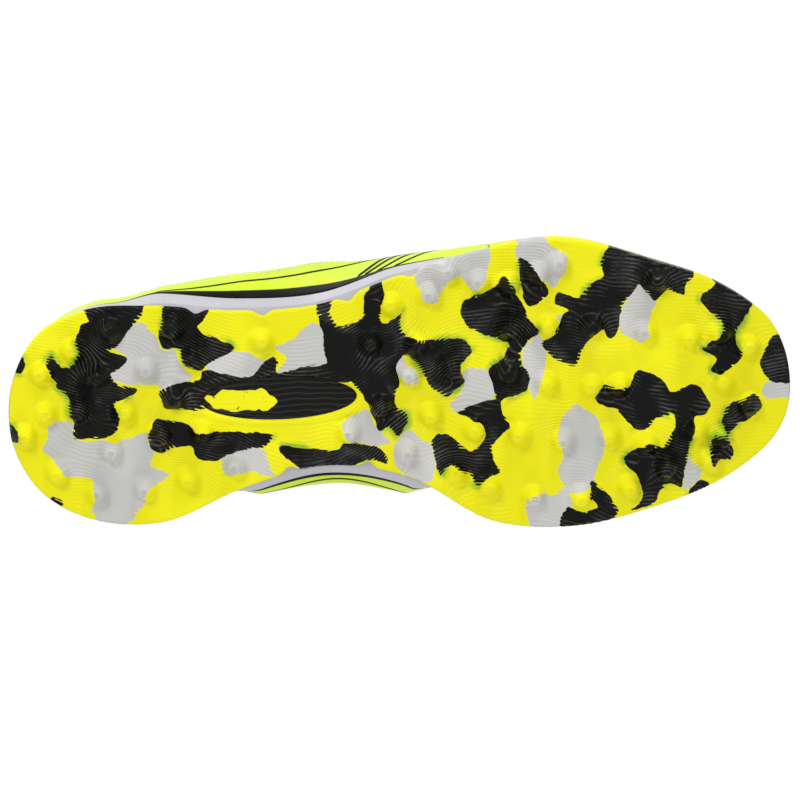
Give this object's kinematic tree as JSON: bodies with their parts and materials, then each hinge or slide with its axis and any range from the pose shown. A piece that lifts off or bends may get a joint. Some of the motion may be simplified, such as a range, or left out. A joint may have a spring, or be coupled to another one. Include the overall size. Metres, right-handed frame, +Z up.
{
  "type": "soccer shoe",
  "caption": "Low right soccer shoe for artificial turf: moulded rubber sole with short round studs, foam midsole, padded collar, hinged tongue and a sole that flexes at the ball.",
  "frame": {"origin": "on the ground under the middle of the shoe's box", "axes": "+X toward the toe, +Y toward the medial side of this right shoe, +Z up"},
  "size_m": [0.286, 0.1076, 0.109],
  "materials": {
    "sole_rubber": "satin moulded rubber with fine grain ribs",
    "black_plastic": "satin",
    "midsole_foam": "matt moulded foam",
    "board": "pressed fibre",
    "lining": "brushed knit",
    "upper_skin": "soft synthetic leather",
    "stiffener": "matt",
    "overlay": "smooth film",
    "padding": "open foam",
    "webbing": "woven tape",
    "eyelet_metal": "satin"
  },
  "bodies": {
    "shoe": {"outsole": "sole_rubber", "waist_insert": "black_plastic", "midsole": "midsole_foam", "insole_board": "board", "sockliner": "lining", "vamp": "upper_skin", "vamp_lining": "lining", "lateral_quarter": "upper_skin", "medial_quarter": "upper_skin", "lateral_eyestay": "overlay", "medial_eyestay": "overlay", "lateral_foxing_band": "black_plastic", "medial_foxing_band": "black_plastic", "quarter_lining": "lining", "heel_counter": "stiffener", "collar_foam": "padding", "topline_binding": "lining", "heel_backstay": "overlay", "heel_pull_tab": "webbing", "lateral_eyelet_1": "eyelet_metal", "lateral_eyelet_2": "eyelet_metal", "lateral_eyelet_3": "eyelet_metal", "lateral_eyelet_4": "eyelet_metal", "lateral_eyelet_5": "eyelet_metal", "lateral_eyelet_6": "eyelet_metal", "medial_eyelet_1": "eyelet_metal", "medial_eyelet_2": "eyelet_metal", "medial_eyelet_3": "eyelet_metal", "medial_eyelet_4": "eyelet_metal", "medial_eyelet_5": "eyelet_metal", "medial_eyelet_6": "eyelet_metal"},
    "toe": {"toe_puff": "stiffener", "toe_guard": "overlay"},
    "tongue": {"tongue_outer": "upper_skin", "tongue_foam": "padding", "tongue_lining": "lining", "tongue_label": "overlay", "lace_keeper": "webbing"}
  },
  "joints": [
    {"name": "forefoot_flex", "type": "hinge", "parent": "shoe", "child": "toe", "pos_m": [0.0515, 0.0045, 0.012], "axis": [0, -1, 0], "range_deg": [0, 35], "stiffness_Nm_per_rad": 3, "deforming": ["outsole", "midsole", "insole_board", "sockliner", "vamp", "vamp_lining"]},
    {"name": "tongue_hinge", "type": "hinge", "parent": "shoe", "child": "tongue", "pos_m": [0.0203, 0.0045, 0.0652], "axis": [0, 1, 0], "range_deg": [0, 60]}
  ]
}
